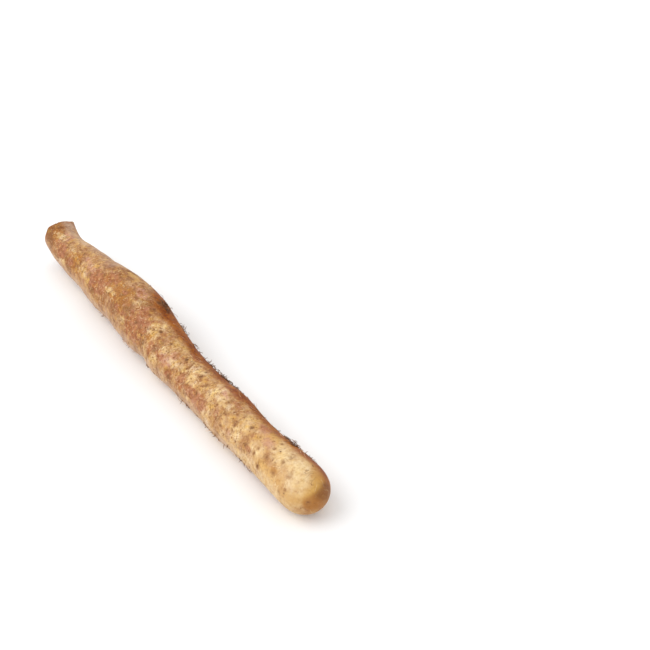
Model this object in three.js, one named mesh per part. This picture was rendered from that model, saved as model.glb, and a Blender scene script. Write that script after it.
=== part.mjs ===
// Yam tuber: one long, slender root tuber of the Chinese yam, cut through at the neck and
// rounded at its growing tip. It lies on its side, gently bowed, with the neck curling up
// off the table.
//
// Millimetres, +Z up. The tuber lies along X with its neck at -X and its tip at +X. The
// table is z = 0, and the origin is on the table under the middle of the tuber.

import * as THREE from 'three';

// ---- driving dimensions ----

const NECK_X = -215; // the cut through the neck
const TIP_X = 216; // the growing tip
const TIP_DEPTH = 22; // length of the rounded end behind the tip
const TIP_FULLNESS = 0.96; // under 1 makes the rounded end blunter than an ellipse

const SIDES = 22; // facets round the body
const BODY_RINGS = 61; // rings from the cut to where the tip starts to round off
const TIP_RINGS = 6; // rings over the rounded end, without the last point

// The body, section by section: where the section stands, how far its middle bows
// sideways, the gap under it, and its mean radius. A gap below 0 is where the tuber
// bears on the table and is flattened by its own weight.
const SECTIONS = [
  { x: -215, bow: -1.2, gap: 9.0, radius: 15.0 },
  { x: -195, bow: -3.0, gap: 6.5, radius: 15.4 },
  { x: -170, bow: -2.2, gap: 4.0, radius: 17.1 },
  { x: -140, bow: 0.4, gap: 2.0, radius: 18.7 },
  { x: -110, bow: 0.2, gap: 0.5, radius: 22.3 },
  { x: -80, bow: 2.6, gap: -0.8, radius: 23.6 },
  { x: -50, bow: 1.5, gap: -0.8, radius: 24.0 },
  { x: -20, bow: 0.6, gap: 0.2, radius: 21.0 },
  { x: 10, bow: -2.0, gap: 0.2, radius: 19.4 },
  { x: 40, bow: -1.4, gap: -0.8, radius: 17.8 },
  { x: 70, bow: -0.5, gap: -0.6, radius: 17.6 },
  { x: 100, bow: -0.4, gap: 0.3, radius: 19.0 },
  { x: 130, bow: 0.6, gap: 0.2, radius: 17.7 },
  { x: 160, bow: 1.9, gap: -0.8, radius: 18.3 },
  { x: 180, bow: 2.1, gap: -0.8, radius: 19.1 },
  { x: 194, bow: 2.0, gap: -0.2, radius: 19.2 },
];

// The section is a little wider than it is tall, and that oval turns along the length.
const OVAL = 0.025;
const OVAL_TURN = 0.012; // radians per millimetre

// The cut leans: how much it runs back toward the tip per millimetre sideways and up.
const CUT_LEAN = { side: 0.1, up: -0.08 };
const CUT_REACH = 25; // the lean dies out over this length

// Low swellings, and hollows where the height is below 0. The angle is in degrees round
// the body, from the +Y side up over the top; reach is along the body, spread is round it.
const SWELLINGS = [
  { x: -215, angle: 40, height: 1.7, reach: 7, spread: 19 },
  { x: -190, angle: 60, height: -0.9, reach: 11, spread: 30 },
  { x: -152, angle: 75, height: 0.9, reach: 10, spread: 25 },
  { x: -128, angle: 20, height: 0.8, reach: 9, spread: 25 },
  { x: -98, angle: 120, height: 0.7, reach: 10, spread: 25 },
  { x: -62, angle: 95, height: 0.8, reach: 14, spread: 28 },
  { x: -34, angle: 200, height: 1.2, reach: 6, spread: 22 },
  { x: -8, angle: 190, height: -1.0, reach: 7, spread: 26 },
  { x: 4, angle: 60, height: 0.8, reach: 12, spread: 30 },
  { x: 30, angle: 120, height: -0.6, reach: 12, spread: 30 },
  { x: 58, angle: 320, height: 0.9, reach: 12, spread: 30 },
  { x: 88, angle: 100, height: 0.7, reach: 10, spread: 26 },
  { x: 118, angle: 60, height: -0.6, reach: 12, spread: 30 },
  { x: 150, angle: 150, height: 0.5, reach: 12, spread: 26 },
];

const SKIN = { color: 0xc08b52, roughness: 0.75, metalness: 0 };

// ---- the body's shape ----

const bodyAt = new THREE.CubicInterpolant(
  SECTIONS.map(({ x }) => x),
  SECTIONS.flatMap(({ bow, gap, radius }) => [bow, gap, radius]),
  3,
);

// The middle and radius of the section at x.
function section(x) {
  const [bow, gap, radius] = bodyAt.evaluate(x);
  return { bow, height: gap + radius, radius };
}

// How far the skin stands proud of the plain round body at x and an angle round it.
function swelling(x, angle) {
  return SWELLINGS.reduce((sum, lump) => {
    const along = (x - lump.x) / lump.reach;
    const turn = angle - THREE.MathUtils.degToRad(lump.angle);
    const round = Math.atan2(Math.sin(turn), Math.cos(turn))
      / THREE.MathUtils.degToRad(lump.spread);
    return sum + lump.height * Math.exp(-(along * along + round * round) / 2);
  }, 0);
}

// One point of the skin: sectionX is the section it belongs to, x where it stands, and
// shrink takes the section down toward the point of the tip.
function skinPoint(sectionX, x, angle, shrink) {
  const { bow, height, radius } = section(sectionX);
  const oval = 1 + OVAL * Math.cos(2 * (angle - OVAL_TURN * sectionX));
  const reach = (radius * oval + swelling(sectionX, angle)) * shrink;
  const side = reach * Math.cos(angle);
  const up = reach * Math.sin(angle);
  const lean = Math.exp(-(sectionX - NECK_X) / CUT_REACH);
  return new THREE.Vector3(
    x + (CUT_LEAN.side * side + CUT_LEAN.up * up) * lean,
    bow + side,
    Math.max(height + up, 0),
  );
}

// ---- the mesh: rings of points, closed by the cut face and by the point of the tip ----

function ring(sectionX, x, shrink) {
  return Array.from({ length: SIDES }, (_, side) => (
    skinPoint(sectionX, x, (side / SIDES) * 2 * Math.PI, shrink)
  ));
}

function bodyRings() {
  const length = TIP_X - TIP_DEPTH - NECK_X;
  return Array.from({ length: BODY_RINGS }, (_, i) => {
    const x = NECK_X + (length * i) / (BODY_RINGS - 1);
    return ring(x, x, 1);
  });
}

function tipRings() {
  const start = TIP_X - TIP_DEPTH;
  return Array.from({ length: TIP_RINGS }, (_, i) => {
    const turn = ((i + 1) / (TIP_RINGS + 1)) * (Math.PI / 2);
    return ring(start, start + TIP_DEPTH * Math.sin(turn), Math.cos(turn) ** TIP_FULLNESS);
  });
}

function middleOf(points) {
  const sum = points.reduce((total, point) => total.add(point), new THREE.Vector3());
  return sum.divideScalar(points.length);
}

// Two triangles for every four-sided patch between one ring and the next, and a fan of
// triangles over each end, all facing out.
function skinFaces(ringCount, cutMiddle, tipPoint) {
  const faces = [];
  const at = (ringIndex, side) => ringIndex * SIDES + (side % SIDES);
  for (let i = 0; i < ringCount - 1; i += 1) {
    for (let side = 0; side < SIDES; side += 1) {
      faces.push(at(i, side), at(i, side + 1), at(i + 1, side + 1));
      faces.push(at(i, side), at(i + 1, side + 1), at(i + 1, side));
    }
  }
  for (let side = 0; side < SIDES; side += 1) {
    faces.push(cutMiddle, at(0, side + 1), at(0, side));
    faces.push(tipPoint, at(ringCount - 1, side), at(ringCount - 1, side + 1));
  }
  return faces;
}

function tuberGeometry() {
  const rings = [...bodyRings(), ...tipRings()];
  const start = section(TIP_X - TIP_DEPTH);
  const cutMiddle = middleOf(rings[0]);
  const tipPoint = new THREE.Vector3(TIP_X, start.bow, start.height);
  const points = [...rings.flat(), cutMiddle, tipPoint];

  const geometry = new THREE.BufferGeometry().setFromPoints(points);
  geometry.setIndex(skinFaces(rings.length, points.length - 2, points.length - 1));
  geometry.computeBoundingBox();
  const middle = geometry.boundingBox.getCenter(new THREE.Vector3());
  geometry.translate(-middle.x, -middle.y, 0);
  geometry.computeVertexNormals();
  return geometry;
}

const tuber = new THREE.Mesh(tuberGeometry(), new THREE.MeshStandardMaterial(SKIN));
tuber.name = 'tuber';

const group = new THREE.Group();
group.name = 'yam_tuber';
group.add(tuber);

export default group;
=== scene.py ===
"""A yam tuber lying on a pale studio floor.

The tuber is one closed skin: mottled, corky, pitted with root scars, creased across where
it bends, dried at the cut neck and smooth at the growing tip. Hair-like rootlets grow out
of it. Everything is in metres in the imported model's own frame: the neck is at -X, the tip
at +X, and the floor is z = 0.
"""

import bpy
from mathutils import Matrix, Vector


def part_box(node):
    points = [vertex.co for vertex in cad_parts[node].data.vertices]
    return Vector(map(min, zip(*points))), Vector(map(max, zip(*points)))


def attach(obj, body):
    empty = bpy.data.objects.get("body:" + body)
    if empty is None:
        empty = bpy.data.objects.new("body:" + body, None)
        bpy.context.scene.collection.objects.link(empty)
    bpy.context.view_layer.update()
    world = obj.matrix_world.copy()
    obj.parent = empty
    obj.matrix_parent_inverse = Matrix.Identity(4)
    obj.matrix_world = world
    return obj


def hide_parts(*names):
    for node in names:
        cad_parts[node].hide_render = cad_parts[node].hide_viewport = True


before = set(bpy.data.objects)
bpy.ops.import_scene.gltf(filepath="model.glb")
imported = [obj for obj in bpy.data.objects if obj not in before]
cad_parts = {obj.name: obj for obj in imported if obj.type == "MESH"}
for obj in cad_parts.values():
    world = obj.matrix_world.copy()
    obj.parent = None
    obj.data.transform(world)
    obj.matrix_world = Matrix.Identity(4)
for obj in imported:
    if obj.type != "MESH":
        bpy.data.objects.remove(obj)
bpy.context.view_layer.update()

import logging
import math
from dataclasses import dataclass
from enum import Enum
from functools import partialmethod
from typing import Any, Callable, Sequence

import bmesh
import bpy
import numpy as np
from mathutils import Euler, Vector
from mathutils.bvhtree import BVHTree

LOG = logging.getLogger("yam_tuber")
MM = 0.001
Colour = tuple[float, float, float]
WHITE = (1.0, 1.0, 1.0)


def from_srgb(red: int, green: int, blue: int) -> Colour:
    """The linear colour of a paint-chart value.

    Args:
        red: 0 to 255.
        green: 0 to 255.
        blue: 0 to 255.

    Returns:
        The same colour in linear light, 0 to 1.
    """
    parts = (value / 255 for value in (red, green, blue))
    return tuple(c / 12.92 if c <= 0.04045 else ((c + 0.055) / 1.055) ** 2.4 for c in parts)


# ---- Shader bench ----


class Wire:
    """A shader socket that can be added, multiplied and compared like a number."""

    def __init__(self, bench: "ShaderBench", socket: bpy.types.NodeSocket) -> None:
        """Keeps the socket and the bench that new nodes are added to."""
        self.bench = bench
        self.socket = socket

    def _math(self, operation: str, *others: "Wire | float") -> "Wire":
        """A Math node that works on this value and the others."""
        values = dict(enumerate((self, *others)))
        return self.bench.add("ShaderNodeMath", {"operation": operation}, values)

    __add__ = __radd__ = partialmethod(_math, "ADD")
    __mul__ = __rmul__ = partialmethod(_math, "MULTIPLY")
    __sub__ = partialmethod(_math, "SUBTRACT")
    at_most = partialmethod(_math, "MINIMUM")
    at_least = partialmethod(_math, "MAXIMUM")

    def __rsub__(self, other: float) -> "Wire":
        """The difference, taken from a plain number."""
        return self.bench.add("ShaderNodeMath", {"operation": "SUBTRACT"}, {0: other, 1: self})

    def distance_from(self, level: float) -> "Wire":
        """How far the value is from a level, either way."""
        return (self - level)._math("ABSOLUTE")

    def step(self, low: float, high: float) -> "Wire":
        """Rises smoothly from 0 at low to 1 at high, and falls if low is the larger.

        Args:
            low: the value that gives 0.
            high: the value that gives 1.

        Returns:
            The smooth step.
        """
        settings = {"interpolation_type": "SMOOTHSTEP"}
        rises = low < high
        ends = {"From Min": min(low, high), "From Max": max(low, high),
                "To Min": 0.0 if rises else 1.0, "To Max": 1.0 if rises else 0.0}
        return self.bench.add("ShaderNodeMapRange", settings, {"Value": self, **ends})


class ShaderBench:
    """A material and the nodes that make its finish."""

    def __init__(self, name: str) -> None:
        """Starts an empty node tree with an output.

        Args:
            name: the material's name.
        """
        self.material = bpy.data.materials.new(name)
        self.material.use_nodes = True
        self.tree = self.material.node_tree
        self.tree.nodes.clear()
        self.output = self.tree.nodes.new("ShaderNodeOutputMaterial")
        self.place = self.add("ShaderNodeTexCoord", {}, {}, "Object")

    def add(self, kind: str, settings: dict[str, Any], inputs: dict[Any, Any],
            output: str | int = 0) -> Wire:
        """Adds one node.

        Args:
            kind: the node's type.
            settings: its properties; "stops" sets a colour ramp's positions and colours.
            inputs: values or wires by socket name or number.
            output: the socket that is wanted from it.

        Returns:
            The output as a wire.
        """
        node = self.tree.nodes.new(kind)
        for name, value in settings.items():
            if name == "stops":
                self._set_stops(node.color_ramp, value)
            else:
                setattr(node, name, value)
        for name, value in inputs.items():
            if isinstance(value, Wire):
                self.tree.links.new(value.socket, node.inputs[name])
            else:
                node.inputs[name].default_value = value
        return Wire(self, node.outputs[output])

    @staticmethod
    def _set_stops(ramp: bpy.types.ColorRamp, stops: Sequence[tuple[float, Colour]]) -> None:
        """Gives a colour ramp its stops.

        Args:
            ramp: the ramp of a new node.
            stops: positions and colours, in rising order of position.
        """
        while len(ramp.elements) < len(stops):
            ramp.elements.new(1.0)
        for element, (position, colour) in zip(ramp.elements, stops):
            element.position = position
            element.color = (*colour, 1.0)

    def noise(self, size: float, detail: float = 3.0, roughness: float = 0.55,
              stretch: Sequence[float] = (1.0, 1.0, 1.0), shift: float = 0.0) -> Wire:
        """Cloudy noise about 0.5.

        Args:
            size: how large its blotches are, in metres.
            detail: how many finer layers it has.
            roughness: how strong the finer layers are.
            stretch: how much longer the blotches are along each axis.
            shift: moves the pattern, so that two noises differ.

        Returns:
            The noise.
        """
        where = self.add("ShaderNodeMapping", {}, {
            "Vector": self.place, "Location": (shift, -0.7 * shift, 0.4 * shift),
            "Scale": tuple(1.0 / value for value in stretch)})
        return self.add("ShaderNodeTexNoise", {}, {
            "Vector": where, "Scale": 1.0 / size, "Detail": detail, "Roughness": roughness})

    def specks(self, size: float, shift: float = 0.0) -> Wire:
        """The distance to scattered points, in parts of their spacing.

        Args:
            size: how far apart the points are, in metres.
            shift: moves the pattern.

        Returns:
            0 at a point, and about 0.5 between points.
        """
        where = self.add("ShaderNodeMapping", {}, {
            "Vector": self.place, "Location": (shift, shift, shift)})
        return self.add("ShaderNodeTexVoronoi", {}, {"Vector": where, "Scale": 1.0 / size})

    def marked(self, name: str, output: str = "Fac") -> Wire:
        """A value that the modelling left on the mesh."""
        return self.add("ShaderNodeAttribute", {"attribute_name": name}, {}, output)

    def ramp(self, value: Wire, stops: Sequence[tuple[float, Colour]]) -> Wire:
        """The colour that a value picks from a ramp."""
        return self.add("ShaderNodeValToRGB", {"stops": stops}, {"Fac": value})

    def blend(self, mask: Wire | float, under: Wire | Colour, over: Wire | Colour,
              mode: str = "MIX") -> Wire:
        """One colour laid over another through a mask.

        Args:
            mask: 0 keeps the under colour, 1 gives the over colour.
            under: the first colour.
            over: the second colour.
            mode: how they meet, such as MIX or MULTIPLY.

        Returns:
            The mixed colour.
        """
        factor, first, second, result = 0, 6, 7, 2
        settings = {"data_type": "RGBA", "blend_type": mode, "clamp_factor": True}
        colours = {factor: mask}
        for socket, colour in ((first, under), (second, over)):
            colours[socket] = colour if isinstance(colour, Wire) else (*colour, 1.0)
        return self.add("ShaderNodeMix", settings, colours, result)

    def relief(self, height: Wire, depth: float, strength: float = 1.0) -> Wire:
        """A bump whose full height is depth metres."""
        return self.add("ShaderNodeBump", {}, {
            "Height": height, "Distance": depth, "Strength": strength}, "Normal")

    def finish(self, **sockets: Any) -> bpy.types.Material:
        """Closes the material with one principled surface.

        Args:
            sockets: values or wires by socket name, with _ for each space.

        Returns:
            The material.
        """
        named = {name.replace("_", " "): value for name, value in sockets.items()}
        surface = self.add("ShaderNodeBsdfPrincipled", {}, named)
        self.tree.links.new(surface.socket, self.output.inputs["Surface"])
        return self.material


# ---- Finishes ----


class Tint(Enum):
    """The stains that blotch the skin, by the name of the mark that holds each one."""

    AMBER = "amber"
    UMBER = "umber"
    GOLD = "gold"
    BLUSH = "blush"
    BRICK = "brick"
    CREAM = "cream"


class SkinBench(ShaderBench):
    """The skin's bench, with the noises that its layers share and its colour so far."""

    def __init__(self, name: str) -> None:
        """Sets out the shared noises.

        Args:
            name: the material's name.
        """
        super().__init__(name)
        self.small = self.noise(4.2 * MM, 5, 0.66, shift=2.9)
        self.grain = self.noise(1.5 * MM, 3, 0.6, shift=4.1)
        self.firm = 1.0 - self.marked("tender")

    def lay(self, mask: Wire | float, over: Wire | Colour, mode: str = "MIX") -> None:
        """Lays one more colour over the skin through a mask."""
        self.colour = self.blend(mask, self.colour, over, mode)


@dataclass(frozen=True)
class CorkySkin:
    """Thin mottled cork: ochre under amber, umber, gold, blush, brick and cream blotches."""

    umber: Colour = from_srgb(128, 76, 36)
    tan: Colour = from_srgb(164, 111, 68)
    ochre: Colour = from_srgb(186, 135, 86)
    straw: Colour = from_srgb(203, 157, 106)
    pale: Colour = from_srgb(221, 181, 128)
    cream: Colour = from_srgb(241, 211, 162)
    brick: Colour = from_srgb(162, 97, 60)
    salmon: Colour = from_srgb(184, 121, 82)
    blush: Colour = from_srgb(205, 148, 119)
    gold: Colour = from_srgb(220, 169, 90)
    amber: Colour = from_srgb(176, 114, 50)
    olive: Colour = from_srgb(140, 100, 56)
    scar: Colour = from_srgb(98, 62, 40)
    halo: Colour = from_srgb(150, 100, 60)
    smudge: Colour = from_srgb(132, 86, 50)
    # Dust, partly a painted sheen: a pale desaturated tan.
    dust_and_sheen: Colour = from_srgb(205, 172, 148)
    mottle_shade: Colour = (0.68, 0.58, 0.47)
    cool_shade: Colour = (0.97, 1.0, 1.26)
    warm_shade: Colour = (1.05, 1.0, 0.70)
    # Painted shade: the warm brown multiplied down the +Y flank.
    painted_shade_colour: Colour = (0.58, 0.27, 0.02)
    tone: Colour = (0.88, 0.91, 0.93)
    grain_relief: float = 0.36 * MM
    shine: float = 0.16

    def material(self) -> bpy.types.Material:
        """Builds the skin's material.

        Returns:
            The material.
        """
        bench = SkinBench("corky_skin")
        self._ground(bench)
        self._blotches(bench)
        self._flecks(bench)
        self._flanks(bench)
        crack = self._cracks(bench)
        # The cracks are darkened, and the creases in step with their depth: painted shade in the
        # creases.
        bench.lay((crack * 0.7 + bench.marked("fold") * 0.75).at_most(0.9), self.umber)
        pit = self._scars(bench)
        bench.lay(1.0, self.tone, "MULTIPLY")
        small, grain = bench.small, bench.grain
        rough = small * 0.3 + grain * 0.25 + 0.26 + bench.firm * 0.1 + pit * 0.15
        height = small * 0.4 + grain * 0.4 - pit * 0.5 - crack * 0.5
        return bench.finish(
            Base_Color=bench.colour,
            Roughness=rough.at_most(0.95),
            Normal=bench.relief(height, self.grain_relief),
            Specular_IOR_Level=self.shine,
        )

    def _ground(self, bench: SkinBench) -> None:
        """The skin's own ochre, light and dark by turns, and paler toward the tip.

        Args:
            bench: the skin's bench.
        """
        broad = bench.noise(20 * MM, 7, 0.66, shift=1.7)
        light = broad + (bench.small - 0.5) * (bench.firm * 0.3 + 0.1)
        bench.colour = bench.ramp(light + bench.marked("ripeness"), (
            (0.30, self.umber), (0.39, self.tan), (0.47, self.ochre), (0.55, self.straw),
            (0.64, self.pale), (0.74, self.cream)))

    def _blotches(self, bench: SkinBench) -> None:
        """Lays the blotches over the ground, ragged on firm skin and soft on tender skin.

        Args:
            bench: the skin's bench.
        """
        brick = bench.ramp(bench.small, ((0.40, self.brick), (0.60, self.salmon)))
        # The cream is paler where the skin is tender: a painted highlight for the tip's soft gloss.
        cream = bench.ramp(bench.small + 0.06 - bench.firm * 0.06, (
            (0.36, self.straw), (0.44, self.pale), (0.68, self.cream)))
        for tint, over, size, shift, strength in (
            (Tint.AMBER, self.amber, 8 * MM, 9.1, 0.85),
            (Tint.UMBER, self.umber, 7 * MM, 5.3, 0.72),
            (Tint.GOLD, self.gold, 7 * MM, 11.3, 0.85),
            (Tint.BLUSH, self.blush, 8 * MM, 21.7, 0.80),
            (Tint.BRICK, brick, 7 * MM, 7.7, 0.88),
            (Tint.CREAM, cream, 8 * MM, 13.9, 0.82),
        ):
            mark = bench.marked(tint.value)
            ragged = (mark + (bench.noise(size, 5, 0.6, shift=shift) - 0.5) * 2.3).step(0.36, 0.80)
            soft = mark.step(0.05, 1.35)
            bench.lay((soft + (ragged - soft) * bench.firm) * strength, over)

    def _flecks(self, bench: SkinBench) -> None:
        """Fine mottling: shade, reddish and olive flecks, pale scuffs and tiny brown pores.

        Args:
            bench: the skin's bench.
        """
        small, grain, firm = bench.small, bench.grain, bench.firm
        tinge = bench.noise(6 * MM, 5, 0.62, shift=41.9)
        smudge = bench.noise(4.6 * MM, 5, 0.68, shift=45.1)
        fleck = bench.noise(2.6 * MM, 4, 0.62, shift=31.3)
        shade = bench.ramp(small, ((0.34, self.mottle_shade), (0.54, WHITE)))
        warmth = bench.ramp(bench.noise(6.5 * MM, 6, 0.74, shift=51.7), (
            (0.38, self.cool_shade), (0.50, WHITE), (0.62, self.warm_shade)))
        for mask, when_firm, always, over, mode in (
            (1.0, 0.35, 0.15, shade, "MULTIPLY"),
            (tinge.step(0.54, 0.65), 0.32, 0.10, self.gold, "MIX"),
            (tinge.step(0.45, 0.34), 0.32, 0.10, self.salmon, "MIX"),
            (1.0, 0.65, 0.30, warmth, "MULTIPLY"),
            (smudge.step(0.575, 0.66), 0.50, 0.15, self.smudge, "MIX"),
            (fleck.step(0.56, 0.68), 0.40, 0.20, self.brick, "MIX"),
            (fleck.step(0.45, 0.33), 0.50, 0.10, self.olive, "MIX"),
            (grain.step(0.56, 0.72), 0.42, 0.10, self.cream, "MIX"),
            (grain.step(0.45, 0.30), 0.32, 0.14, self.umber, "MIX"),
        ):
            bench.lay((firm * when_firm + always) * mask, over, mode)
        scuff = bench.noise(13 * MM, 1.5, 0.5, shift=33.1).distance_from(0.48).step(0.010, 0.003)
        bench.lay(scuff * bench.noise(9 * MM, 2, 0.5, shift=35.9).step(0.50, 0.60) * 0.55, self.cream)
        for size, shift, far, near in ((4.4 * MM, 0.0, 0.22, 0.14), (2.5 * MM, 3.7, 0.24, 0.14)):
            pores = bench.specks(size, shift).step(far, near) * small.step(0.56, 0.48)
            bench.lay(pores * (firm * 0.65 + 0.18), self.umber)

    def _flanks(self, bench: SkinBench) -> None:
        """Dust and painted sheen down one side, and painted shade, a warm brown, down the other.

        Args:
            bench: the skin's bench.
        """
        ragged = (bench.noise(14 * MM, 6, 0.66, shift=27.1) - 0.5) * 1.6
        # Dust down the flanks, partly a painted sheen that makes them paler and greyer.
        dust_and_sheen_mask = (bench.marked("dust_and_sheen") + ragged).step(0.10, 1.05) * (bench.small * 0.5 + 0.5)
        patchy = bench.noise(8 * MM, 5, 0.66, shift=55.3).step(0.42, 0.56) * 0.45 + 0.58
        bench.lay(dust_and_sheen_mask * patchy, self.dust_and_sheen)
        # Painted shade: a warm brown multiplied down the +Y flank.
        painted_shade_mask = bench.marked("painted_shade") + ragged * 0.6 + (bench.small - 0.5) * 0.5
        bench.lay(painted_shade_mask.step(0.0, 1.05), self.painted_shade_colour, "MULTIPLY")

    def _cracks(self, bench: SkinBench) -> Wire:
        """Hairline cracks that run across the tuber, broken up into short lengths.

        Args:
            bench: the skin's bench.

        Returns:
            A mask of the cracks.
        """
        lines = bench.noise(9 * MM, 2, 0.5, (0.45, 1.6, 1.6), shift=15.2)
        breaks = bench.noise(13 * MM, 2, 0.5, shift=17.8)
        return lines.distance_from(0.5).step(0.012, 0.004) * breaks.step(0.53, 0.60)

    def _scars(self, bench: SkinBench) -> Wire:
        """Draws each root scar: a brown halo round a dark pit, fainter where it is tender.

        Args:
            bench: the skin's bench.

        Returns:
            A mask of the pits.
        """
        offset = bench.marked("scar", "Vector")
        ragged = (bench.noise(1.3 * MM, 3, 0.6, shift=19.6) - 0.5) * 2.0 + (bench.small - 0.5) * 3.0
        reach = bench.add("ShaderNodeVectorMath", {"operation": "LENGTH"}, {0: offset}, "Value")
        reach = reach + ragged
        depth = bench.marked("scar_depth")
        bench.lay(reach.step(2.3, 0.3) * 0.75 * depth, self.halo)
        pit = reach.step(1.15, 0.2) * (depth - 0.3).at_least(0.0) * (bench.firm * 0.5 + 0.5)
        bench.lay(pit, self.scar)
        return pit


@dataclass(frozen=True)
class DriedCut:
    """The flesh at the cut neck, dried to a tan crust with a darker edge."""

    flesh: Colour = from_srgb(214, 182, 140)
    crust: Colour = from_srgb(178, 134, 92)
    edge: Colour = from_srgb(122, 82, 52)
    fibre: Colour = from_srgb(132, 94, 62)

    def material(self) -> bpy.types.Material:
        """Builds the cut face's material.

        Returns:
            The material.
        """
        bench = ShaderBench("dried_cut")
        cloud = bench.noise(6 * MM, 5, 0.65, shift=2.2)
        fine = bench.noise(1.3 * MM, 4, 0.6, shift=5.5)
        colour = bench.ramp(cloud, ((0.36, self.crust), (0.60, self.flesh)))
        fibres = bench.specks(1.9 * MM, 3.3).step(0.26, 0.14)
        colour = bench.blend(fibres * 0.55, colour, self.fibre)
        radius = bench.marked("cut_radius") + (cloud - 0.5) * 0.25
        colour = bench.blend(radius.step(0.78, 0.98) * 0.75, colour, self.edge)
        split = bench.marked("split")
        colour = bench.blend(split * 0.7, colour, self.edge)
        height = cloud * 0.5 + fine * 0.5 - fibres * 0.3
        return bench.finish(
            Base_Color=colour,
            Roughness=(fine * 0.3 + 0.6).at_most(0.95),
            Normal=bench.relief(height, 0.5 * MM),
            Specular_IOR_Level=0.35,
        )


@dataclass(frozen=True)
class DryRootlet:
    """Dead hair-like roots, of one of two ages."""

    name: str
    shade: Colour
    tip: Colour

    def material(self) -> bpy.types.Material:
        """Builds the rootlets' material.

        Returns:
            The material.
        """
        bench = ShaderBench(self.name)
        stops = ((0.40, self.shade), (0.62, self.tip))
        colour = bench.ramp(bench.noise(6 * MM, 3, 0.7, shift=1.1), stops)
        rough = bench.noise(1.5 * MM, 2) * 0.3 + 0.5
        return bench.finish(Base_Color=colour, Roughness=rough)


OLD_ROOTLET = DryRootlet("old_rootlet", from_srgb(88, 52, 29), from_srgb(146, 98, 60))
PALE_ROOTLET = DryRootlet("pale_rootlet", from_srgb(178, 132, 92), from_srgb(228, 192, 148))


@dataclass(frozen=True)
class PaleFloor:
    """A matt white studio sweep."""

    white: Colour = (0.9, 0.9, 0.9)

    def material(self) -> bpy.types.Material:
        """Builds the floor's material.

        Returns:
            The material.
        """
        bench = ShaderBench("pale_floor")
        return bench.finish(Base_Color=(*self.white, 1.0), Roughness=0.9)


# ---- Hand tools ----


def only(piece: bpy.types.Object) -> None:
    """Makes this the one selected and active object.

    Args:
        piece: the object.
    """
    bpy.ops.object.select_all(action="DESELECT")
    piece.select_set(True)
    bpy.context.view_layer.objects.active = piece


def pick(piece: bpy.types.Object, kind: str, wanted: Callable[[Any], bool]) -> int:
    """Selects those elements of a mesh in edit mode that pass a test, and no others.

    Args:
        piece: the object in edit mode.
        kind: "VERT", "EDGE" or "FACE".
        wanted: the test of one element.

    Returns:
        How many were selected.
    """
    bpy.ops.mesh.select_mode(type=kind)
    bpy.ops.mesh.select_all(action="DESELECT")
    work = bmesh.from_edit_mesh(piece.data)
    elements = {"VERT": work.verts, "EDGE": work.edges, "FACE": work.faces}[kind]
    chosen = [element for element in elements if wanted(element)]
    for element in chosen:
        element.select_set(True)
    work.select_flush_mode()
    bmesh.update_edit_mesh(piece.data)
    return len(chosen)


def read_rows(items: bpy.types.bpy_prop_collection, what: str = "co") -> np.ndarray:
    """Reads one vector from each point of a mesh.

    Args:
        items: the mesh's points, or its points' normals.
        what: the name of the vector.

    Returns:
        A row of x, y and z for each.
    """
    flat = np.empty(len(items) * 3, np.float32)
    items.foreach_get(what, flat)
    return flat.reshape(-1, 3).astype(float)


def write_points(mesh: bpy.types.Mesh, points: np.ndarray) -> None:
    """Moves the mesh's points to these places."""
    mesh.vertices.foreach_set("co", points.astype(np.float32).ravel())
    mesh.update()


def rest_on_floor(mesh: bpy.types.Mesh) -> None:
    """Lifts any point that is below the floor up to it.

    Args:
        mesh: the mesh, which stands in the model's own frame.
    """
    points = read_rows(mesh.vertices)
    points[:, 2] = np.maximum(points[:, 2], 0)
    write_points(mesh, points)


def leave_mark(mesh: bpy.types.Mesh, name: str, values: np.ndarray) -> None:
    """Keeps a number or a vector for each point, for the material to read.

    Args:
        mesh: the mesh to mark.
        name: the mark's name.
        values: one number or one row of three for each point.
    """
    vector = values.ndim == 2
    kind = "FLOAT_VECTOR" if vector else "FLOAT"
    layer = mesh.attributes.new(name, kind, "POINT")
    flat = np.ascontiguousarray(values, np.float32).ravel()
    layer.data.foreach_set("vector" if vector else "value", flat)


def bell(gap: np.ndarray) -> np.ndarray:
    """1 in the middle, falling smoothly to nothing about three widths out."""
    return np.exp(-0.5 * gap ** 2)


def soft_step(value: np.ndarray) -> np.ndarray:
    """Rises smoothly from 0 at 0 to 1 at 1, and stays level outside."""
    value = np.clip(value, 0, 1)
    return value * value * (3 - 2 * value)


# ---- Places on the tuber ----


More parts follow.
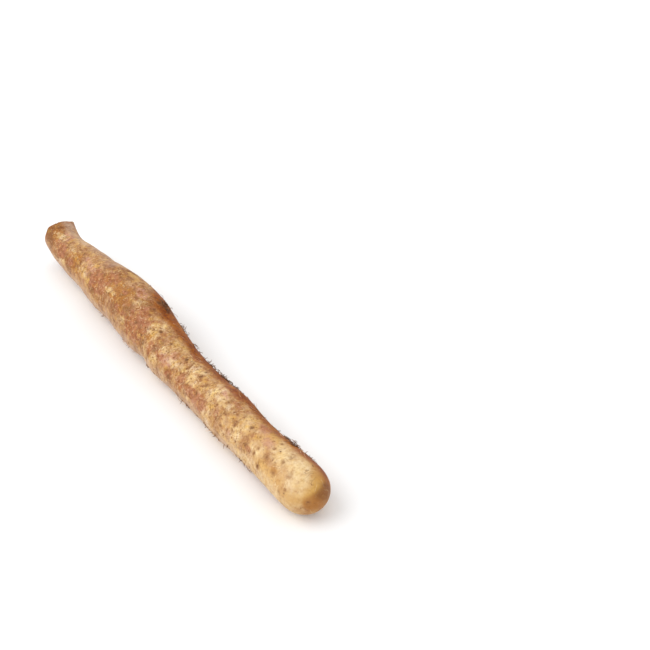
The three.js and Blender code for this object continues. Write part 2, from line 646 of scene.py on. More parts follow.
class MiddleLine:
    """The line down the middle of the tuber, and places told by how far along it they are.

    An angle is in degrees round the tuber, from the +Y side up over the top.
    """

    def __init__(self, points: np.ndarray, stations: int = 60) -> None:
        """Measures the tuber's middle and girth.

        Args:
            points: the points of its skin.
            stations: how many places along it are measured.
        """
        edges = np.linspace(points[:, 0].min(), points[:, 0].max() + MM, stations + 1)
        slot = np.digitize(points[:, 0], edges)
        fewest = 8
        used = [index for index in range(1, stations + 1) if (slot == index).sum() >= fewest]
        rings = [points[slot == index] for index in used]
        self.along = np.array([ring[:, 0].mean() for ring in rings])
        low = np.array([ring[:, 1:].min(axis=0) for ring in rings])
        high = np.array([ring[:, 1:].max(axis=0) for ring in rings])
        self.middle = (low + high) / 2
        self.radius = (high - low).mean(axis=1) / 2

    def at(self, along: np.ndarray | float) -> tuple[np.ndarray, np.ndarray, np.ndarray]:
        """Looks up the tuber at places along it.

        Args:
            along: x in metres.

        Returns:
            The middle's y and z, and the radius.
        """
        side = np.interp(along, self.along, self.middle[:, 0])
        height = np.interp(along, self.along, self.middle[:, 1])
        return side, height, np.interp(along, self.along, self.radius)

    def angles(self, points: np.ndarray) -> np.ndarray:
        """The angle of each point, 0 to 360 degrees."""
        side, height, _ = self.at(points[:, 0])
        return np.degrees(np.arctan2(points[:, 2] - height, points[:, 1] - side)) % 360

    def spot(self, skin: BVHTree, along: float, angle: float) -> tuple[Vector, Vector]:
        """The point of the skin at a place along the tuber and an angle round it.

        Args:
            skin: the skin's surface.
            along: x in metres.
            angle: in degrees.

        Returns:
            The point, and the way out of the skin there.
        """
        side, height, _ = self.at(along)
        turn = math.radians(angle)
        way = Vector((0.0, math.cos(turn), math.sin(turn)))
        hit, normal, _, _ = skin.ray_cast(Vector((along, side, height)), way)
        return hit, (normal if normal.dot(way) > 0 else -normal)


def turn_between(angles: np.ndarray, angle: float) -> np.ndarray:
    """The shorter way round from one angle to others, -180 to 180 degrees."""
    return (angles - angle + 180) % 360 - 180


@dataclass(frozen=True)
class Blotch:
    """A stain: x in mm and the angle, its half length and half width in mm, its strength."""

    tint: Tint
    along: float
    angle: float
    length: float
    width: float
    amount: float


@dataclass(frozen=True)
class Fold:
    """A shallow crease across the tuber."""

    along: float
    angle: float
    spread: float
    depth: float
    slant: float = 0.0


@dataclass(frozen=True)
class Scar:
    """A round scar where a root grew out, with its radius, and how deep and dark it is."""

    along: float
    angle: float
    radius: float
    depth: float


BLOTCHES = tuple(Blotch(tint, *row) for tint, rows in {
    Tint.AMBER: (
        (-208, 140, 8, 9, 1.5), (-157, 128, 8, 5, 0.9), (-147, 142, 5, 6, 1.0),
        (-77, 114, 9, 5, 1.2), (-61, 124, 12, 7, 1.3), (-6, 135, 4, 3, 0.9),
        (181, 138, 3.4, 2, 1.1), (213, 92, 2, 4, 1.3), (214.5, 128, 2, 5, 1.8),
        (215, 70, 3, 8, 2.4), (205, 45, 8, 7, 2.0), (210, 62, 3.5, 6, 1.5), (188, 56, 12, 3.5, 0.8),
        (198, 70, 9, 5, 0.5),
    ),
    Tint.UMBER: (
        (-212, 132, 4.5, 5, 1.0), (-203, 155, 6, 3.6, 1.0), (-147, 148, 4, 3, 0.9),
        (-143, 127, 3, 2.4, 0.9), (-42, 133, 4.5, 5, 0.9), (-10, 155, 3.5, 3, 0.8),
        (213, 30, 3, 6, 1.5), (214, 62, 3, 5, 1.1),
    ),
    Tint.GOLD: (
        (-168, 85, 9, 3, 0.8), (-128, 143, 8.5, 4.6, 0.9), (-113, 152, 5, 2.6, 0.75),
        (-117, 108, 6, 1.7, 0.9), (-79, 67, 9, 3.2, 1.0), (93, 141, 8, 4, 0.65),
        (125, 112, 14, 5, 0.3), (168, 158, 8, 4, 0.9), (206, 78, 6.5, 6, 0.85),
        (210, 112, 2.5, 5, 2.2), (206, 165, 5, 4, 0.7), (152, 88, 12, 8, 0.75),
        (188, 148, 12, 8, 0.5),
    ),
    Tint.BLUSH: (
        (-188, 88, 8, 3.5, 1.1), (-136, 111, 8, 2.4, 0.8), (-122, 121, 7, 2.2, 1.0),
        (-50, 85, 9, 4, 0.9), (23, 130, 8, 4.5, 1.4), (105, 138, 5, 3, 0.8), (97, 95, 5, 2.4, 0.8),
        (124, 152, 5, 3, 0.7), (144, 88, 7, 4, 1.0), (161, 105, 6, 3.4, 0.9),
    ),
    Tint.BRICK: (
        (-177, 145, 7, 4.5, 1.15), (-189, 132, 9, 2.6, 1.0), (-158, 146, 4, 3, 1.0),
        (-103, 140, 8, 4.6, 1.2), (-91, 139, 6, 4.4, 1.4), (-107, 117, 8, 3, 1.0),
        (-87, 106, 7, 3.6, 1.3), (-52, 143, 6, 2, 1.4), (-60, 112, 2.5, 1.4, 1.2),
        (-51, 86, 4.5, 2, 0.9), (-25, 137, 9, 9, 1.9), (-31, 106, 5, 3, 1.2), (3, 146, 3, 4, 1.3),
        (17, 142, 3.5, 2.2, 0.9), (33, 161, 2.6, 2.2, 1.5), (49, 142, 3.2, 5, 1.5),
        (40, 70, 6, 2.4, 1.3), (65, 155, 8, 2.6, 1.3), (79, 152, 9, 5, 1.4), (97, 71, 10, 2, 1.5),
        (112, 89, 5, 2.2, 1.0), (144, 78, 6, 2.4, 1.2), (148, 145, 3, 1.6, 1.2),
        (185, 82, 3, 3, 1.1),
    ),
    Tint.CREAM: (
        (-191, 104, 5.5, 2.6, 0.72), (-198, 111, 4, 2, 0.6), (-181, 183, 5, 2.6, 0.8),
        (-171, 170, 4, 2.4, 1.0), (-164, 114, 6, 2.4, 0.8), (-129, 140, 7, 3.4, 0.7),
        (-121, 148, 5, 2.0, 0.6), (-85, 132, 4, 2.4, 0.5), (-77, 129, 5.5, 2, 0.48),
        (-73, 131, 4, 1.8, 0.55), (-43, 101, 5, 2.8, 0.8), (-6, 114, 8, 3.8, 0.72),
        (12, 158, 4, 3, 0.75), (18, 117, 4.5, 3, 0.95), (31, 126, 4.5, 3, 0.95),
        (42, 123, 5, 2.6, 0.7), (61, 113, 11, 4, 0.55), (56, 88, 8, 3, 0.8), (93, 144, 4, 1.8, 0.8),
        (104, 108, 9, 3.6, 0.8), (175, 105, 7, 5, 1.6), (192, 90, 7, 5, 2.0),
        # The first of these, at 203 mm and 122 degrees on top of the tip, is a painted highlight.
        (203, 122, 5.5, 6, 2.2), (140, 186, 24, 5, 0.9), (172, 180, 16, 6, 1.2),
    ),
}.items() for row in rows)

# How pale the ground colour is, by x in mm.
PALENESS = (
    (-216, -190, -170, -130, -90, -50, -10, 30, 110, 150, 190, 205, 216),
    (-0.18, -0.09, -0.04, -0.02, -0.05, -0.07, 0.01, 0.02, 0.06, 0.08, 0.10, 0.10, 0.04),
)

# How tender the skin is, by x in mm: 0 is firm cork, 1 is the new skin at the growing tip.
TENDERNESS = ((60, 130, 195), (0.0, 0.3, 1.0))

# The painted shade on the +Y flank reaches up to this angle, by x in mm.
PAINTED_SHADE_LINE = (
    (-190, -130, -64, -48, -32, -15, 10, 35, 60, 80, 95, 112, 125, 145, 175, 195, 208),
    (-90, -20, 34, 62, 80, 77, 70, 67, 64, 72, 75, 69, 66, 69, 67, 55, 44),
)

# How strong the painted shade is, by the angle round the tuber.
PAINTED_SHADE_DEPTH = ((-75, -20, 15, 42), (0.0, 0.45, 0.5, 1.0))

# How much dust and painted sheen lies low on the -Y side, and high on the +Y side, by x in mm.
LOW_DUST_AND_SHEEN = ((-216, -120, -60, 125, 160, 208), (1.0, 0.9, 1.05, 0.9, 0.4, 0.0))
HIGH_DUST_AND_SHEEN = ((-216, -105, -80), (0.65, 0.65, 0.0))

FOLDS = tuple(Fold(*row) for row in (
    (-37, 200, 34, 0.5, 0.05), (-20, 196, 30, 0.35, -0.04), (-12, 168, 34, 0.4, 0.05),
    (3, 176, 30, 0.35, 0.03), (-92, 62, 26, 0.3, 0.03), (-150, 72, 24, 0.25),
    (45, 96, 20, 0.6, 0.05), (36, 160, 16, 0.4, 0.1), (20, 188, 34, 0.4, 0.04), (47, 196, 30, 0.3),
    (93, 190, 22, 0.2),
))

# Corners that the knife left on the rim: the angle, how far out in mm, and the spread.
RIM_CORNERS = ((40, 1.3, 6), (128, 1.3, 9))

# Low swells and hollows: x in mm, the angle, half length in mm, half spread, height in mm.
SWELLS = (
    (-127, 205, 10, 26, 0.6),
    (-80, 205, 6, 26, -0.5),
    (-28, 203, 5, 26, 0.9),
    (-13, 203, 5, 26, -0.8),
    (5, 203, 5, 26, 0.6),
    (36, 203, 11, 28, -1.2),
    (58, 203, 5, 26, -0.8),
    (80, 203, 6, 26, -0.7),
    (-127, 45, 7, 24, -0.9),
    (-92, 45, 7, 24, 0.7),
    (-48, 45, 6, 24, 0.4),
    (147, 45, 12, 24, -0.6),
)

# Cracks in the dried flesh: the angle, how far out each starts and ends, its half width, mm.
SPLITS = (
    (20, 2, 15, 0.4), (95, 8, 18, 0.35), (150, 3, 12, 0.4), (228, 7, 19, 0.35),
    (300, 10, 18, 0.35),
)

SCARS = tuple(Scar(*row) for row in (
    (-149, 106, 1.6, 0.7), (-77, 86, 1.5, 0.6), (-93, 146, 1.2, 0.7), (-53, 172, 1.7, 0.7),
    (-48, 101, 1.3, 0.7), (-36, 60, 2.4, 1.0), (-27, 134, 1.3, 0.8), (-24, 100, 1.1, 0.7),
    (-8, 113, 0.9, 0.6), (-1, 102, 1.7, 1.0), (9, 142, 1.4, 0.8), (16, 98, 1.3, 0.9),
    (33, 163, 1.5, 0.8), (37, 92, 1.9, 1.0), (51, 78, 1.2, 0.7), (62, 99, 1.8, 0.9),
    (57, 143, 1.2, 0.7), (72, 142, 1.5, 0.8), (75, 110, 2.0, 0.7), (92, 128, 0.9, 0.7),
    (99, 140, 1.0, 0.7), (112, 125, 0.9, 0.7), (106, 100, 1.5, 0.6), (113, 155, 1.1, 0.7),
    (121, 150, 1.1, 0.7), (125, 129, 1.1, 0.8), (124, 118, 1.1, 0.8), (120, 106, 1.0, 0.7),
    (133, 157, 1.2, 0.8), (138, 104, 1.3, 0.9), (144, 146, 1.4, 1.0), (156, 144, 1.3, 0.9),
    (157, 128, 1.0, 0.7), (164, 162, 1.6, 1.0), (168, 131, 1.6, 0.8), (167, 105, 1.2, 0.7),
    (166, 83, 1.1, 0.7), (182, 144, 1.9, 0.7), (183, 112, 1.6, 0.7), (183, 92, 1.8, 0.7),
    (196, 120, 2.4, 0.5), (199, 152, 1.1, 0.7), (194, 169, 1.4, 0.6), (214, 152, 1.3, 0.9),
    (211, 49, 1.4, 0.8),
))


@dataclass(frozen=True)
class FlatSheet:
    """Where each part of the skin lies when it is laid out flat on a square sheet."""

    side: float = 268 * MM
    unroll_radius: float = 20 * MM
    neck_strip: tuple[float, float] = (218 * MM, 0.0)
    tip_strip: tuple[float, float] = (2 * MM, 132 * MM)
    cut_disc: tuple[float, float] = (236 * MM, 208 * MM)
    tip_disc: tuple[float, float] = (238 * MM, 164 * MM)
    tip_from: float = 196 * MM
    tip_middle: float = 190 * MM
    tip_pole: float = 216 * MM
    tip_shrink: float = 1.6


@dataclass
class TuberSkin:
    """The tuber itself: one closed skin, with the dried flesh at its cut neck."""

    form: bpy.types.Object
    name: str = "yam_skin"
    sides: int = 22
    levels: int = 3
    cap_span: int = 5
    weld: float = 0.01 * MM
    fan_edges: int = 9
    rim_width: float = 1.1 * MM
    rim_crease: float = 0.95
    flesh_sink: float = 0.9 * MM
    split_depth: float = 0.8 * MM
    cut_depth: float = 1.5 * MM
    cut_roughness: float = 0.25
    deepest_fold: float = 0.5 * MM
    corner_length: float = 5 * MM
    tip_depth: float = 1.2 * MM
    scatter: tuple[float, float] = (-205, 195)
    scar_count: int = 230
    scar_room: float = 5
    wart_count: int = 46
    fold_count: int = 16
    blotch_count: int = 110
    seed: int = 7

    def build(self) -> bpy.types.Object:
        """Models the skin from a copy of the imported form.

        Returns:
            The finished skin.
        """
        self._copy_form()
        self._open_ends()
        self._close_cut()
        self._close_tip()
        self._smooth()
        self.line = MiddleLine(read_rows(self.skin.data.vertices))
        self._roughen()
        self._survey()
        self._sculpt()
        self._survey()
        self._stain()
        self._weather()
        self._unwrap()
        self._dress()
        LOG.info("%s: %d faces, %d scars", self.name, len(self.skin.data.polygons), self.scar_count)
        return self.skin

    def _copy_form(self) -> None:
        """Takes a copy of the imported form, with a mesh of its own."""
        self.skin = self.form.copy()
        self.skin.data = self.form.data.copy()
        for key in list(self.skin.keys()):
            del self.skin[key]
        self.skin.name = self.skin.data.name = self.name
        bpy.context.scene.collection.objects.link(self.skin)

    def _open_ends(self) -> None:
        """Merges the loose triangles, takes off both end fans and squares the rest."""
        only(self.skin)
        bpy.ops.object.mode_set(mode="EDIT")
        bpy.ops.mesh.select_all(action="SELECT")
        bpy.ops.mesh.customdata_custom_splitnormals_clear()
        bpy.ops.mesh.remove_doubles(threshold=self.weld)
        pick(self.skin, "VERT", lambda point: len(point.link_edges) >= self.fan_edges)
        bpy.ops.mesh.delete(type="VERT")
        bpy.ops.mesh.select_all(action="SELECT")
        bpy.ops.mesh.tris_convert_to_quads(face_threshold=math.pi, shape_threshold=math.pi)

    def _close_cut(self) -> None:
        """Fills the cut neck: a thin rim of skin round flesh that has shrunk back."""
        pick(self.skin, "EDGE", lambda edge: edge.is_boundary and edge.verts[0].co.x < 0)
        bpy.ops.transform.edge_crease(value=self.rim_crease)
        bpy.ops.mesh.fill_grid(span=self.cap_span)
        bpy.ops.mesh.select_mode(type="FACE")
        bpy.ops.mesh.inset(thickness=self.rim_width, depth=0.0)
        bpy.ops.mesh.inset(thickness=self.rim_width, depth=-self.flesh_sink)
        self.skin.data.materials.clear()
        self.skin.data.materials.append(None)
        self.skin.data.materials.append(None)
        self.skin.active_material_index = 1
        bpy.ops.object.material_slot_assign()

    def _close_tip(self) -> None:
        """Fills the growing tip and domes it."""
        self.skin.active_material_index = 0
        pick(self.skin, "EDGE", lambda edge: edge.is_boundary)
        bpy.ops.mesh.fill_grid(span=self.cap_span)
        bpy.ops.mesh.select_all(action="SELECT")
        bpy.ops.mesh.normals_make_consistent(inside=False)
        bpy.ops.object.mode_set(mode="OBJECT")
        points = read_rows(self.skin.data.vertices)
        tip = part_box("tuber")[1].x
        ring = points[:, 0] > tip - self.tip_depth
        middle = points[ring, 1:].mean(axis=0)
        far = np.linalg.norm(points[:, 1:] - middle, axis=1)
        edge = far[ring].max()
        base = points[ring, 0].min()
        points[ring, 0] = base + (tip - base) * (1 - (far[ring] / edge) ** 2)
        write_points(self.skin.data, points)

    def _smooth(self) -> None:
        """Subdivides the skin and makes good what that takes off its girth."""
        only(self.skin)
        curve = self.skin.modifiers.new("curve", "SUBSURF")
        curve.levels = curve.render_levels = self.levels
        bpy.ops.object.modifier_apply(modifier=curve.name)
        bpy.ops.object.shade_smooth()
        points = read_rows(self.skin.data.vertices)
        side, height, _ = MiddleLine(points).at(points[:, 0])
        middle = np.stack([side, height], axis=1)
        lost = (2 + math.cos(2 * math.pi / self.sides)) / 3
        points[:, 1:] = middle + (points[:, 1:] - middle) / lost
        write_points(self.skin.data, points)
        rest_on_floor(self.skin.data)

    def _roughen(self) -> None:
        """Gives the skin its swells, lumps and fine grain."""
        only(self.skin)
        for name, size, height in (
            ("swells", 28 * MM, 1.0 * MM),
            ("lumps", 9 * MM, 0.26 * MM),
            ("grain", 2.6 * MM, 0.16 * MM),
        ):
            cloud = bpy.data.textures.new(name, "CLOUDS")
            cloud.noise_scale = size
            cloud.noise_depth = 1
            push = self.skin.modifiers.new(name, "DISPLACE")
            push.texture = cloud
            push.texture_coords = "LOCAL"
            push.strength = height
            bpy.ops.object.modifier_apply(modifier=push.name)

    def _survey(self) -> None:
        """Measures the skin as it now is: its points, their angles and its surface."""
        self.points = read_rows(self.skin.data.vertices)
        self.angles = self.line.angles(self.points)
        self.tree = BVHTree.FromObject(self.skin, bpy.context.evaluated_depsgraph_get())

    def _gaps(self, along: float, angle: float) -> np.ndarray:
        """The way to each point from the spot at an x in mm and an angle."""
        return self.points - np.array(self.line.spot(self.tree, along * MM, angle)[0])

    def _sculpt(self) -> None:
        """Presses in the scars and folds and raises the warts."""
        mesh = self.skin.data
        lift = self._scar_relief() + self._wart_relief() + self._swell_relief()
        fold = self._fold_relief()
        behind, out = self._from_cut()
        at_cut = behind < self.cut_depth
        split = np.where(at_cut, self._split_marks(out), 0)
        lift = np.where(at_cut, self.cut_roughness * lift - split * self.split_depth, lift) - fold
        moved = self.points + read_rows(mesh.vertex_normals, "vector") * lift[:, None]
        moved += self._rim_corners(moved, behind)
        write_points(mesh, moved)
        rest_on_floor(mesh)
        neck_radius = self.line.at(moved[:, 0].min())[2]
        # The crease depth, which the skin darkens as painted shade.
        leave_mark(mesh, "fold", fold / self.deepest_fold)
        leave_mark(mesh, "cut_radius", np.linalg.norm(out, axis=1) / neck_radius)
        leave_mark(mesh, "split", split)

    def _from_cut(self) -> tuple[np.ndarray, np.ndarray]:
        """Measures from the leaning plane of the cut.

        Returns:
            How far each point is behind the plane, and the way out to it from the middle.
        """
        flesh = np.unique([face.vertices[:] for face in self.skin.data.polygons
                           if face.material_index == 1])
        gaps = self.points - self.points[flesh].mean(axis=0)
        facing = np.linalg.svd(gaps[flesh], full_matrices=False)[2][2]
        facing *= np.sign(facing[0])
        behind = gaps @ facing
        return behind, gaps - behind[:, None] * facing

    def _split_marks(self, out: np.ndarray) -> np.ndarray:
        """Where the flesh has split as it dried: cracks that run in from the rim.

        Args:
            out: the way to each point from the middle of the cut.

        Returns:
            1 along the middle of a crack, 0 clear of it.
        """
        reach = np.linalg.norm(out, axis=1) / MM
        angles = np.degrees(np.arctan2(out[:, 2], out[:, 1])) % 360
        split = np.zeros(len(out))
        for angle, start, end, width in SPLITS:
            bend = 5 * np.sin(reach * 0.8 + angle)
            aside = np.radians(turn_between(angles, angle) + bend) * reach
            inside = soft_step((reach - start) / 2) * soft_step((end - reach) / 2)
            split = np.maximum(split, bell(aside / width) * inside)
        return split

    def _rim_corners(self, points: np.ndarray, behind: np.ndarray) -> np.ndarray:
        """Pulls out the corners that the cut left on the rim.

        Args:
            points: the skin's points.
            behind: how far each is behind the cut.

        Returns:
            How far each point moves.
        """
        angles = self.line.angles(points)
        side, height, radius = self.line.at(points[:, 0])
        out = np.stack([np.zeros(len(points)), points[:, 1] - side, points[:, 2] - height], axis=1)
        out /= radius[:, None]
        near_cut = np.exp(-np.maximum(behind, 0) / self.corner_length)
        push = np.zeros(len(points))
        for angle, reach, spread in RIM_CORNERS:
            push += reach * MM * bell(turn_between(angles, angle) / spread)
        return out * (push * near_cut)[:, None]

    def _scar_spots(self) -> list[tuple[Vector, float, float]]:
        """The listed scars, then a scatter that keeps clear of them.

        Returns:
            The middle, radius and depth of each scar.
        """
        draw = np.random.default_rng(self.seed)
        chosen = [(self.line.spot(self.tree, scar.along * MM, scar.angle)[0], scar.radius * MM,
                   scar.depth) for scar in SCARS]
        while len(chosen) < self.scar_count:
            along = (-212 + 420 * draw.random() ** 0.8) * MM
            angle = draw.uniform(0, 360)
            radius = (0.5 + 0.9 * draw.random() ** 2) * MM
            depth = draw.uniform(0.35, 0.9)
            hit, _ = self.line.spot(self.tree, along, angle)
            if all((hit - other).length > self.scar_room * (radius + reach)
                   for other, reach, _ in chosen):
                chosen.append((hit, radius, depth))
        return chosen

    def _scar_relief(self) -> np.ndarray:
        """Shapes the scars, each a pit in a low ring, and leaves the marks of their colours.

        Returns:
            How far each point is raised.
        """
        lift = np.zeros(len(self.points))
        reach, far_away = 3.0, (0.0, 0.0, 9.0)
        nearest = np.full(len(lift), reach)
        offset = np.tile(far_away, (len(lift), 1))
        darkness = np.zeros(len(lift))
        for hit, radius, depth in self._scar_spots():
            gap = (self.points - np.array(hit)) / radius
            far = np.linalg.norm(gap, axis=1)
            lift += depth * radius * (-0.34 * bell(far / 0.62) + 0.14 * bell((far - 1.35) / 0.45))
            own = far < nearest
            nearest[own] = far[own]
            offset[own] = gap[own]
            darkness[own] = depth
        leave_mark(self.skin.data, "scar", offset)
        leave_mark(self.skin.data, "scar_depth", darkness)
        return lift

    def _wart_relief(self) -> np.ndarray:
        """Scatters low warts.

        Returns:
            How far each point is raised.
        """
        draw = np.random.default_rng(self.seed + 1)
        lift = np.zeros(len(self.points))
        for _ in range(self.wart_count):
            far = np.linalg.norm(self._gaps(draw.uniform(*self.scatter), draw.uniform(0, 360)), axis=1)
            radius = draw.uniform(1.2, 2.8) * MM
            lift += draw.uniform(0.12, 0.34) * MM * bell(far / radius)
        return lift

    def _swell_relief(self) -> np.ndarray:
        """Shapes the low swells and hollows.

        Returns:
            How far each point is raised.
        """
        lift = np.zeros(len(self.points))
        for along, angle, length, spread, height in SWELLS:
            near = bell((self.points[:, 0] / MM - along) / length)
            lift += height * MM * near * bell(turn_between(self.angles, angle) / spread)
        return lift

    def _fold_relief(self) -> np.ndarray:
        """Shapes the creases: the listed ones, and a scatter of shallow ones.

        Returns:
            How far each point is pressed in.
        """
        draw = np.random.default_rng(self.seed + 2)
        folds = list(FOLDS)
        for _ in range(self.fold_count):
            folds.append(Fold(draw.uniform(*self.scatter), draw.uniform(0, 360), draw.uniform(8, 24),
                              draw.uniform(0.12, 0.28), draw.normal() * 0.06))
        deep = np.zeros(len(self.points))
        for fold in folds:
            turn = turn_between(self.angles, fold.angle)
            wander = fold.slant * turn + 0.9 * np.sin(turn * 0.11 + fold.along)
            across = (self.points[:, 0] / MM - fold.along - wander) / 0.9
            shape = bell(across) - 0.35 * bell((across - 2.6) / 1.4)
            deep += fold.depth * MM * shape * bell(turn / (fold.spread * 0.6))
        return deep

    def _stain(self) -> None:
        """Marks where each stain is strong."""
        totals = {tint: np.zeros(len(self.points)) for tint in Tint}
        for blotch in (*BLOTCHES, *self._hidden_blotches()):
            along, side, height = (self._gaps(blotch.along, blotch.angle) / MM).T
            far = np.hypot(along / blotch.length, np.hypot(side, height) / blotch.width)
            totals[blotch.tint] += blotch.amount * bell(far)
        for tint, total in totals.items():
            leave_mark(self.skin.data, tint.value, total)

    def _weather(self) -> None:
        """Marks how pale and tender the skin is, where the painted shade lies, and where the dust and
        painted sheen lie.
        """
        mesh, along = self.skin.data, self.points[:, 0] / MM
        leave_mark(mesh, "ripeness", np.interp(along, *PALENESS))
        leave_mark(mesh, "tender", np.interp(along, *TENDERNESS))
        turn = turn_between(self.angles, 0)
        fade, unshaded_tip, tip_fade = 38, 217, 14
        # Painted shade down the +Y flank, fading out before the tip.
        painted_shade_mask = soft_step((np.interp(along, *PAINTED_SHADE_LINE) + fade / 2 + 1 - turn) / fade)
        painted_shade_mask = painted_shade_mask * np.interp(turn, *PAINTED_SHADE_DEPTH) * soft_step((unshaded_tip - along) / tip_fade)
        leave_mark(mesh, "painted_shade", painted_shade_mask)
        # Dust and painted sheen, low on the -Y flank and high on the +Y flank near the neck.
        low, below, above = 205, 18, 24
        turn = turn_between(self.angles, low)
        dust_and_sheen_mask = np.interp(along, *LOW_DUST_AND_SHEEN) * bell(np.where(turn < 0, turn / above, turn / below))
        high, spread = 60, 22
        dust_and_sheen_mask += np.interp(along, *HIGH_DUST_AND_SHEEN) * bell(turn_between(self.angles, high) / spread)
        leave_mark(mesh, "dust_and_sheen", dust_and_sheen_mask)

    def _hidden_blotches(self) -> list[Blotch]:
        """Scatters stains over the side that lies against the table.

        Returns:
            The stains.
        """
        draw = np.random.default_rng(self.seed + 3)
        tints = list(Tint)
        return [
            Blotch(tints[draw.integers(len(tints))], draw.uniform(-210, 205), draw.uniform(205, 395),
                   draw.uniform(4, 11), draw.uniform(2, 5), draw.uniform(0.8, 1.4))
            for _ in range(self.blotch_count)
        ]

    def _unwrap(self) -> None:
        """Lays the skin out flat: two strips of the body, a disc each for the tip and cut."""
        mesh, sheet = self.skin.data, FlatSheet()
        corners = np.empty(len(mesh.loops), np.int32)
        mesh.loops.foreach_get("vertex_index", corners)
        place = self.points[corners]
        middle = place[:, 0].reshape(-1, 4).mean(axis=1)
        turns = ((self.angles - 270) % 360)[corners].reshape(-1, 4)
        over = np.ptp(turns, axis=1)[:, None] > 180
        turns = np.where(over & (turns < 180), turns + 360, turns).ravel()
        chart = np.stack([place[:, 0], np.radians(turns) * sheet.unroll_radius], axis=1)
        chart += np.where(np.repeat(middle > 0, 4)[:, None], sheet.tip_strip, sheet.neck_strip)
        facing_back, neck_end = -0.5, -200 * MM
        at_cut = np.repeat([
            face.material_index == 1 or (face.normal.x < facing_back and face.center.x < neck_end)
            for face in mesh.polygons], 4)
        chart[at_cut] = place[at_cut][:, 1:] + sheet.cut_disc
        at_tip = np.repeat(middle > sheet.tip_from, 4) & ~at_cut
        way = place[at_tip][:, 1:] - np.array(self.line.at(sheet.tip_middle)[:2])
        spread = np.linalg.norm(way, axis=1, keepdims=True) + 1e-9
        reach = spread + np.maximum(sheet.tip_pole - place[at_tip][:, :1], 0)
        chart[at_tip] = way / spread * reach / sheet.tip_shrink + sheet.tip_disc
        layer = mesh.uv_layers.new(name="OFBake")
        layer.data.foreach_set("uv", (chart / sheet.side).astype(np.float32).ravel())

    def _dress(self) -> None:
        """Gives the skin and the cut flesh their finishes."""
        self.skin.data.materials[0] = CorkySkin().material()
        self.skin.data.materials[1] = DriedCut().material()
        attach(self.skin, "root")
        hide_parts("tuber")


# ---- Rootlets ----


@dataclass(frozen=True)
class Tuft:
    """A stretch of the skin where rootlets are thick: x in mm, degrees, and lengths in mm."""

    start: float
    end: float
    angle: float
    spread: float
    count: int
    shortest: float
    longest: float
    lift: float
    pale: float


TUFTS = tuple(Tuft(*row) for row in (
    (-205, 205, 90, 180, 150, 1.0, 3, 0.2, 0.6), (-92, -84, 204, 6, 9, 2, 4.5, 0.9, 0.6),
    (-44, -20, 206, 6, 14, 2, 5, 0.9, 0.5), (-8, 2, 203, 6, 8, 2.5, 5.5, 0.9, 0.6),
    (48, 64, 203, 8, 22, 2, 5.5, 0.9, 0.35), (84, 160, 198, 10, 44, 1.5, 4, 0.75, 0.4),
    (-42, -24, 46, 8, 44, 4, 10, 0.6, 0.0), (-14, 0, 24, 8, 20, 2.5, 6, 0.8, 0.05),
    (12, 26, 30, 8, 7, 4, 8, 0.7, 0.1), (34, 54, 32, 8, 20, 3, 7, 0.7, 0.1),
    (58, 88, 34, 8, 56, 3, 8, 0.7, 0.05), (88, 150, 42, 10, 18, 2, 6, 0.4, 0.3),
    (154, 170, 44, 6, 34, 4, 9, 0.55, 0.0), (168, 192, 42, 6, 12, 2, 5, 0.4, 0.2),
    (-14, 8, 130, 22, 6, 8, 14, 0.0, 1.0), (50, 62, 150, 24, 6, 7, 14, 0.0, 1.0),
    (-10, 60, 66, 14, 8, 6, 14, 0.0, 0.9), (88, 130, 66, 4, 5, 14, 24, 0.0, 1.0),
    (150, 190, 58, 5, 4, 12, 22, 0.0, 1.0), (-190, 190, 270, 60, 50, 2, 7, 0.2, 0.5),
))


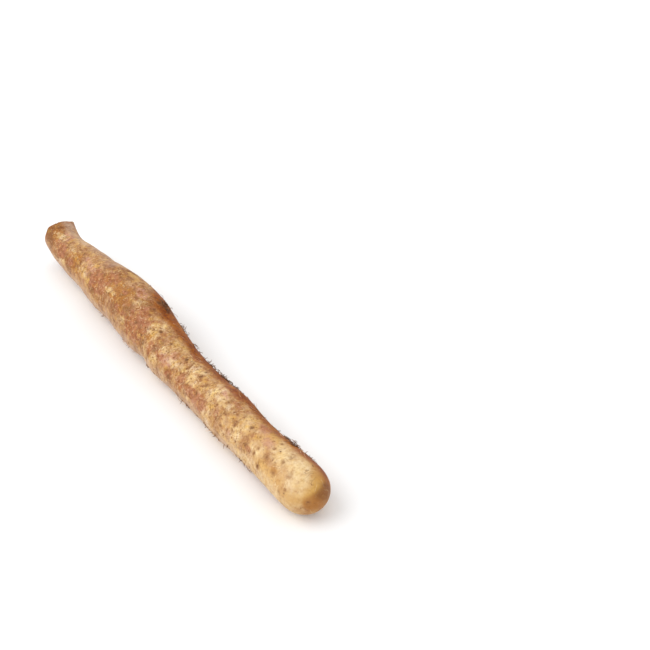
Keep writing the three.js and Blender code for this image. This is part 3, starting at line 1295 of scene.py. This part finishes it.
@dataclass
class Rootlets:
    """The dead hair-like roots that still stand on the skin, joined as one piece.

    A hair that lies flat takes the first of the curl and wander pairs, and one that stands out the
    second.
    """

    skin: bpy.types.Object
    line: MiddleLine
    name: str = "rootlets"
    thickness: float = 0.34 * MM
    clearance: float = 0.18 * MM
    step: float = 1.1 * MM
    tallest: float = 6.0 * MM
    old_size: float = 1.6
    pale_size: float = 0.8
    taper: float = 0.6
    root_depth: float = 0.6
    weld: float = 0.002 * MM
    bends: tuple[int, int] = (4, 16)
    curl: tuple[float, float] = (0.2, 1.1)
    wander: tuple[float, float] = (0.22, 0.52)
    seed: int = 21

    def build(self) -> bpy.types.Object:
        """Grows the rootlets tuft by tuft.

        Returns:
            The finished rootlets.
        """
        self.tree = BVHTree.FromObject(self.skin, bpy.context.evaluated_depsgraph_get())
        self.draw = np.random.default_rng(self.seed)
        curve = bpy.data.curves.new(self.name, "CURVE")
        curve.dimensions = "3D"
        curve.bevel_depth = self.thickness / 2
        curve.bevel_resolution = 0
        curve.use_fill_caps = True
        curve.materials.append(OLD_ROOTLET.material())
        curve.materials.append(PALE_ROOTLET.material())
        for tuft in TUFTS:
            for _ in range(tuft.count):
                self._add_hair(curve, tuft)
        hairs = bpy.data.objects.new(self.name, curve)
        bpy.context.scene.collection.objects.link(hairs)
        only(hairs)
        bpy.ops.object.convert(target="MESH")
        hairs = bpy.context.view_layer.objects.active
        bpy.ops.object.mode_set(mode="EDIT")
        bpy.ops.mesh.select_all(action="SELECT")
        bpy.ops.mesh.remove_doubles(threshold=self.weld)
        bpy.ops.mesh.normals_make_consistent(inside=False)
        bpy.ops.object.mode_set(mode="OBJECT")
        bpy.ops.object.shade_smooth()
        rest_on_floor(hairs.data)
        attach(hairs, "root")
        LOG.info("%s: %d hairs, %d faces", self.name, len(curve.splines), len(hairs.data.polygons))
        return hairs

    def _add_hair(self, curve: bpy.types.Curve, tuft: Tuft) -> None:
        """Grows one hair.

        Args:
            curve: the curve that it is added to.
            tuft: the tuft that it belongs to.
        """
        draw = self.draw
        along = (tuft.start + (tuft.end - tuft.start) * draw.random()) * MM
        angle = tuft.angle + tuft.spread * (2 * draw.random() - 1)
        length = (tuft.shortest + (tuft.longest - tuft.shortest) * draw.random() ** 1.5) * MM
        path = self._grow(along, angle, length, tuft.lift)
        spline = curve.splines.new("POLY")
        spline.material_index = int(draw.random() < tuft.pale)
        spline.points.add(len(path) - 1)
        age_size = self.pale_size if spline.material_index else self.old_size
        size = age_size * (0.7 + 0.6 * draw.random())
        for index, (point, place) in enumerate(zip(spline.points, path)):
            point.co = (*place, 1.0)
            point.radius = size * (1 - self.taper * index / (len(path) - 1))

    def _grow(self, along: float, angle: float, length: float, lift: float) -> list[Vector]:
        """Follows one hair over the skin, bending as it goes and never going through it.

        Args:
            along: where it starts, x in metres.
            angle: the angle where it starts.
            length: its length in metres.
            lift: 0 lies along the skin, 1 stands out.

        Returns:
            The points of the hair.
        """
        draw = self.draw
        place, out = self.line.spot(self.tree, along, angle)
        wild = Vector(draw.normal(size=3))
        flat = (wild - wild.dot(out) * out).normalized()
        way = (flat * (1 - 0.5 * lift) + out * lift).normalized()
        steps = int(np.clip(length / self.step, *self.bends))
        stride = length / steps
        curl = Vector(draw.normal(size=3)) * float(np.interp(lift, (0, 1), self.curl))
        wander = float(np.interp(lift, (0, 1), self.wander))
        loft = self.clearance * 1.05 + lift * self.tallest * draw.random()
        path = [place - out * self.thickness * self.root_depth]
        for _ in range(steps):
            place = place + way * stride
            way = (way + curl + Vector(draw.normal(size=3)) * wander).normalized()
            near, out, _, _ = self.tree.find_nearest(place)
            gap = (place - near).dot(out)
            if not self.clearance < gap < loft:
                place = near + out * min(max(gap, self.clearance), loft)
                way = (way - way.dot(out) * out).normalized()
            place.z = max(place.z, self.thickness * 1.05)
            path.append(place.copy())
        return path


# ---- Studio ----


@dataclass
class Studio:
    """The floor, the lights and the camera."""

    floor_side: float = 14.0
    floor_drop: float = 0.05 * MM
    sky: float = 1.0
    key_strength: float = 1.3
    key_spread: float = 55.0
    key_place: tuple[float, float, float] = (-0.45, -0.75, 0.95)
    eye: tuple[float, float, float] = (0.67064, -0.30713, 0.55721)
    azimuth: float = 55.5
    elevation: float = 35.2
    lens: float = 60.92

    def build(self) -> None:
        """Lays the floor and sets up the lights and the camera."""
        self._lay_floor()
        self._light()
        self._aim_camera()
        bpy.context.scene.view_settings.view_transform = "Standard"
        LOG.info("studio: floor, sky, key light and camera")

    def _lay_floor(self) -> None:
        """A wide matt floor just under the tuber."""
        bpy.ops.object.select_all(action="DESELECT")
        bpy.ops.mesh.primitive_plane_add(size=self.floor_side, location=(0, 0, -self.floor_drop))
        floor = bpy.context.active_object
        floor.name = "floor"
        bpy.ops.object.transform_apply(location=True)
        floor.data.materials.append(PaleFloor().material())

    def _light(self) -> None:
        """A bright even sky and one broad soft key."""
        world = bpy.data.worlds.new("studio_sky")
        bpy.context.scene.world = world
        world.use_nodes = True
        background = world.node_tree.nodes["Background"]
        background.inputs["Color"].default_value = (1.0, 1.0, 1.0, 1.0)
        background.inputs["Strength"].default_value = self.sky
        bpy.ops.object.light_add(type="SUN", location=self.key_place)
        key = bpy.context.active_object
        key.name = "key"
        key.data.energy = self.key_strength
        key.data.angle = math.radians(self.key_spread)
        key.rotation_euler = (-Vector(self.key_place)).to_track_quat("-Z", "Y").to_euler()

    def _aim_camera(self) -> None:
        """Sets the camera's place, direction and lens."""
        lens = bpy.data.cameras.new("camera")
        lens.lens = self.lens
        lens.sensor_width = 36.0
        camera = bpy.data.objects.new("camera", lens)
        camera.location = self.eye
        tilt, turn = math.radians(90 - self.elevation), math.radians(self.azimuth)
        camera.rotation_euler = Euler((tilt, 0.0, turn))
        bpy.context.scene.collection.objects.link(camera)
        bpy.context.scene.camera = camera


def main() -> None:
    """Builds the tuber and its rootlets, then the studio round them."""
    logging.basicConfig(level=logging.INFO, format="%(name)s: %(message)s")
    tuber = TuberSkin(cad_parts["tuber"])
    skin = tuber.build()
    Rootlets(skin, tuber.line).build()
    Studio().build()


if __name__ == "__main__":
    main()
